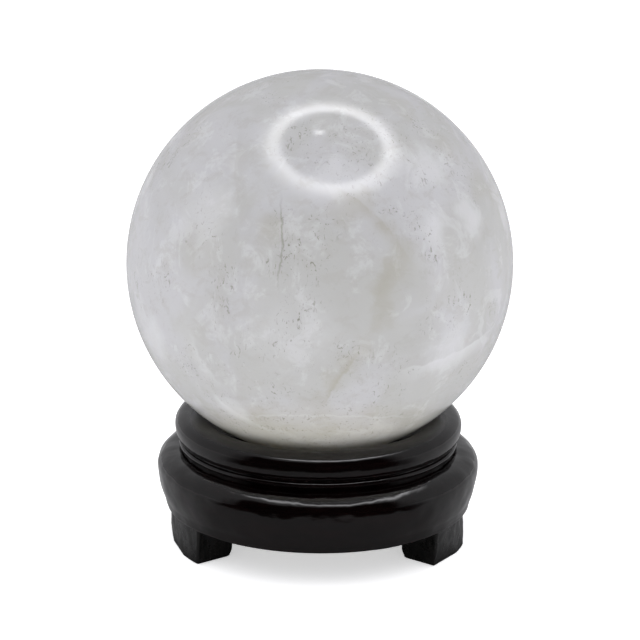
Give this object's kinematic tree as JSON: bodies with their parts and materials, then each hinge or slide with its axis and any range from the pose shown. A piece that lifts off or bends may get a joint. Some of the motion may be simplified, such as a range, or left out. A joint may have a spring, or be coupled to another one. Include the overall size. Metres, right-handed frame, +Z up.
{
  "type": "crystal ball on stand",
  "caption": "Polished clouded rock-crystal ball resting in the bevelled seat of a low, round, black-lacquered wooden stand with carved feet; the ball lifts off.",
  "frame": {"origin": "on the stand's turning axis, in the plane that the feet stand on", "axes": "+Z up along the turning axis; -Y is the front, looking into the wide arch between the two front feet; +X to the right"},
  "size_m": [0.1, 0.1, 0.1246],
  "materials": {
    "clouded_quartz": "polished, cloudy inside",
    "black_lacquered_wood": "high-gloss black-brown lacquer",
    "carved_dark_wood": "knife-carved, thinly lacquered",
    "pale_dowel_wood": "bare"
  },
  "bodies": {
    "stand": {"stand_collar": "black_lacquered_wood", "stand_base_ring": "black_lacquered_wood", "foot_front_left": "carved_dark_wood", "foot_front_right": "carved_dark_wood", "foot_back": "carved_dark_wood", "foot_dowels": "pale_dowel_wood"},
    "ball": {"crystal_ball": "clouded_quartz"}
  },
  "joints": [
    {"name": "ball_lift", "type": "slide", "parent": "stand", "child": "ball", "axis": [0, 0, 1], "range_m": [0, 0.02]}
  ]
}
